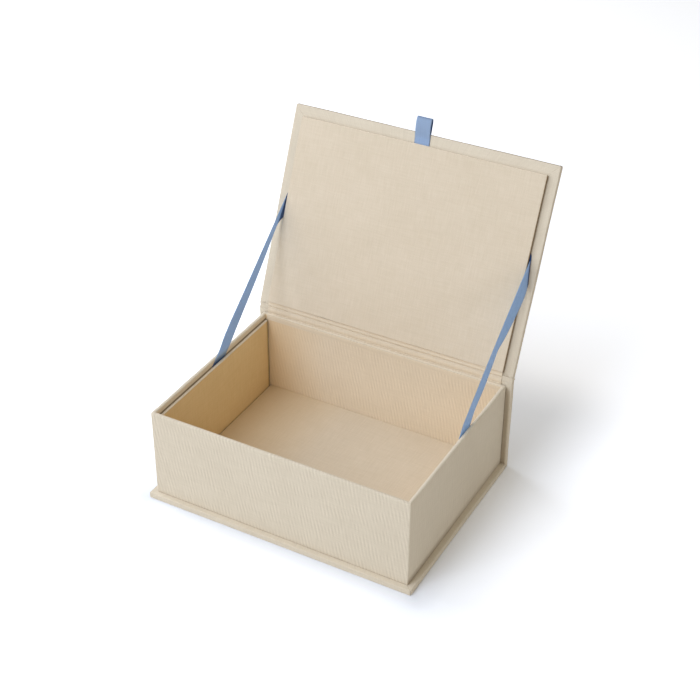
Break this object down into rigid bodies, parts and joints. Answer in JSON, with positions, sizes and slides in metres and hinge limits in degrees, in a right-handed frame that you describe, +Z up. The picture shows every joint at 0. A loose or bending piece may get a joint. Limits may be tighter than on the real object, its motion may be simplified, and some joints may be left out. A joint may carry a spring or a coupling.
{
  "type": "photo storage box",
  "caption": "Cloth-covered clamshell box with a deep tray, a hinged lid held open by ribbon stays, a raised lid panel and a ribbon pull tab.",
  "frame": {"origin": "centre of the base's underside, on the surface the box stands on", "axes": "+Z up, +X to the right seen from the front, +Y to the back, where the hinge is; the front of the tray faces -Y"},
  "size_m": [0.2254, 0.2354, 0.2492],
  "materials": {
    "case_cloth": "natural linen book cloth, matt, plain weave with slubs",
    "lining_cloth": "the same linen book cloth on the inner boards",
    "greyboard": "unfinished greyboard",
    "ribbon": "dusty blue satin ribbon"
  },
  "bodies": {
    "tray": {"base_board": "greyboard", "base_cloth": "case_cloth", "floor_liner_board": "greyboard", "floor_liner_cloth": "lining_cloth", "hinge_cloth": "case_cloth", "hinge_lining": "lining_cloth", "left_liner_board": "greyboard", "left_liner_cloth": "lining_cloth", "ribbon_stay_left": "ribbon", "ribbon_stay_right": "ribbon", "right_liner_board": "greyboard", "right_liner_cloth": "lining_cloth", "spine_board": "greyboard", "spine_cloth": "case_cloth", "tray_back_wall": "greyboard", "tray_floor_board": "greyboard", "tray_front_wall": "greyboard", "tray_left_wall": "greyboard", "tray_right_wall": "greyboard", "tray_wrap_cloth": "case_cloth"},
    "lid": {"lid_board": "greyboard", "lid_cloth": "case_cloth", "lid_panel_board": "greyboard", "lid_panel_cloth": "lining_cloth", "pull_tab": "ribbon"}
  },
  "joints": [
    {"name": "lid_hinge", "type": "hinge", "parent": "tray", "child": "lid", "pos_m": [0, 0.0821, 0.0824], "axis": [1, 0, 0], "range_deg": [0, 113], "deforming": ["ribbon_stay_left", "ribbon_stay_right", "hinge_cloth", "hinge_lining"]}
  ]
}
